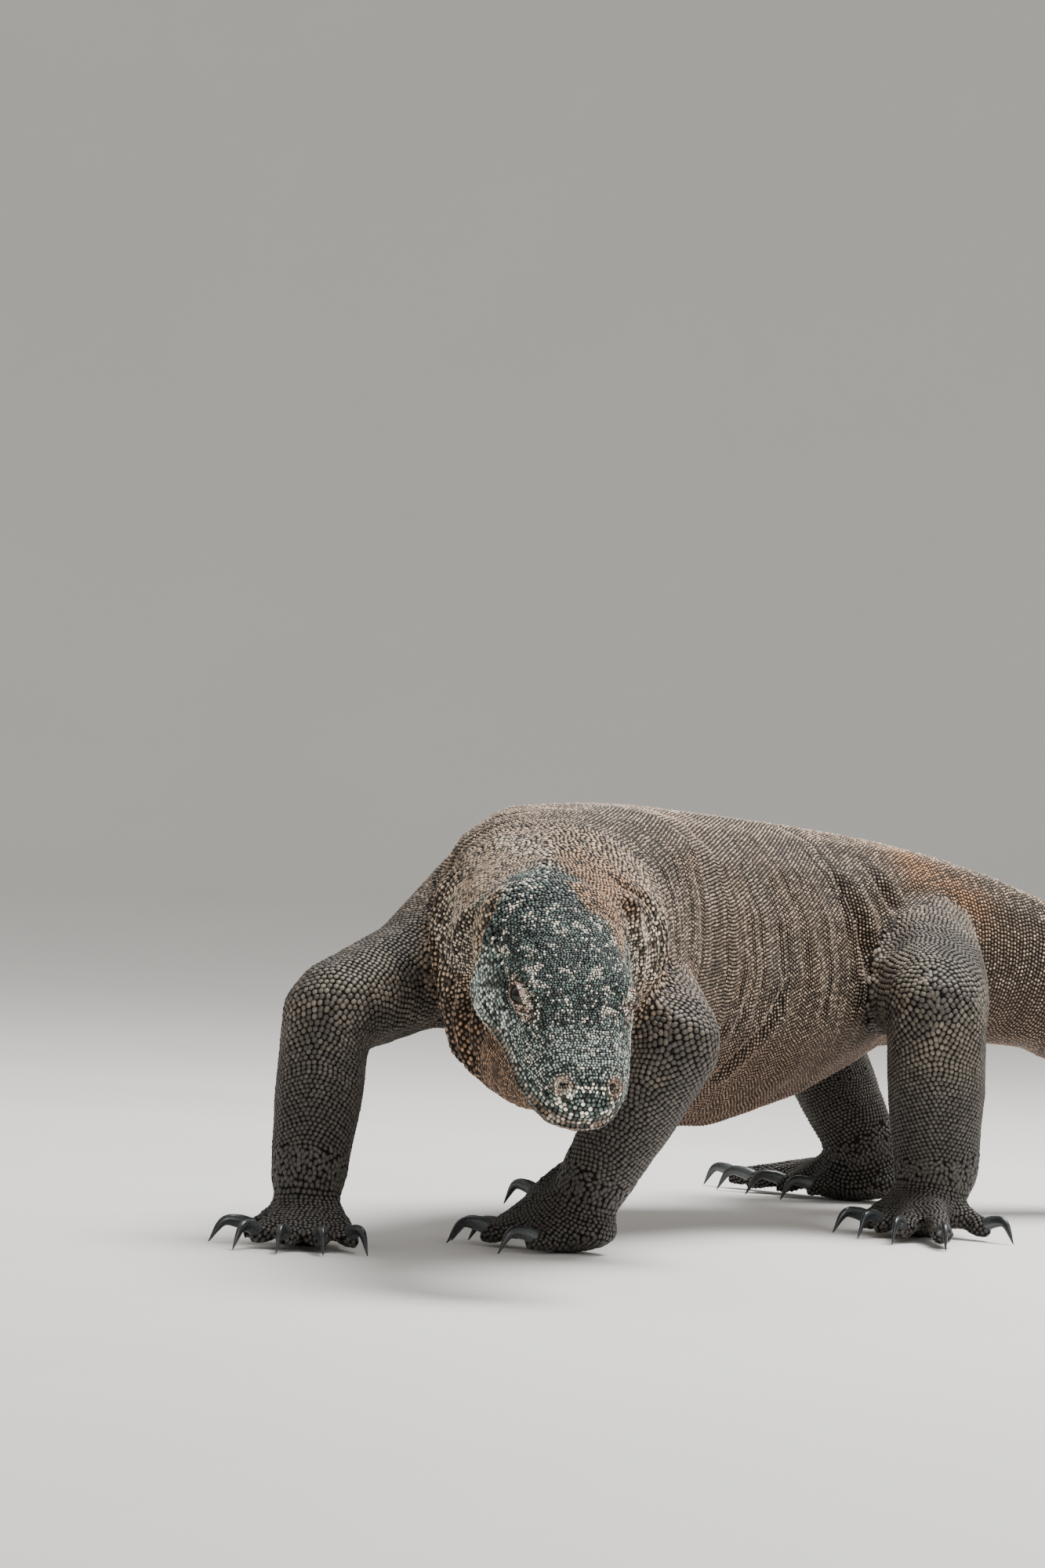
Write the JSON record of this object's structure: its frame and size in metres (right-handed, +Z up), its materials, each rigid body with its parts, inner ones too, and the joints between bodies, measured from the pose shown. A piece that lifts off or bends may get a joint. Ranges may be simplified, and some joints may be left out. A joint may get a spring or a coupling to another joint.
{
  "type": "komodo dragon model",
  "caption": "Life-size Komodo dragon standing in mid-stride, head lowered and turned to its left, mouth closed, tail trailing on the ground.",
  "frame": {"origin": "on the ground, under the middle of the animal's box", "axes": "+Z up, head towards -Y, the animal's left side towards +X, trunk and tail along Y"},
  "size_m": [0.7056, 2.4522, 0.4102],
  "materials": {
    "hide": "scaly grey-brown hide, matt with a faint shine on the scales",
    "head_hide": "scaly dark teal-grey hide with cream flecks",
    "claw_horn": "dark smooth horn",
    "eye": "wet, glossy dark brown"
  },
  "bodies": {
    "root": {"belly": "hide", "chest": "hide", "claw_1_fore_l": "claw_horn", "claw_1_fore_r": "claw_horn", "claw_1_hind_l": "claw_horn", "claw_1_hind_r": "claw_horn", "claw_2_fore_l": "claw_horn", "claw_2_fore_r": "claw_horn", "claw_2_hind_l": "claw_horn", "claw_2_hind_r": "claw_horn", "claw_3_fore_l": "claw_horn", "claw_3_fore_r": "claw_horn", "claw_3_hind_l": "claw_horn", "claw_3_hind_r": "claw_horn", "claw_4_fore_l": "claw_horn", "claw_4_fore_r": "claw_horn", "claw_4_hind_l": "claw_horn", "claw_4_hind_r": "claw_horn", "claw_5_fore_l": "claw_horn", "claw_5_fore_r": "claw_horn", "claw_5_hind_l": "claw_horn", "claw_5_hind_r": "claw_horn", "eye_l": "eye", "eye_r": "eye", "foot_hind_l": "hide", "foot_hind_r": "hide", "forearm_fore_l": "hide", "forearm_fore_r": "hide", "hand_fore_l": "hide", "hand_fore_r": "hide", "head": "head_hide", "jaw": "head_hide", "neck": "hide", "pelvis": "hide", "ribs": "hide", "shank_hind_l": "hide", "shank_hind_r": "hide", "tail_1": "hide", "tail_2": "hide", "tail_3": "hide", "tail_4": "hide", "thigh_hind_l": "hide", "thigh_hind_r": "hide", "upper_arm_fore_l": "hide", "upper_arm_fore_r": "hide"}
  },
  "joints": []
}
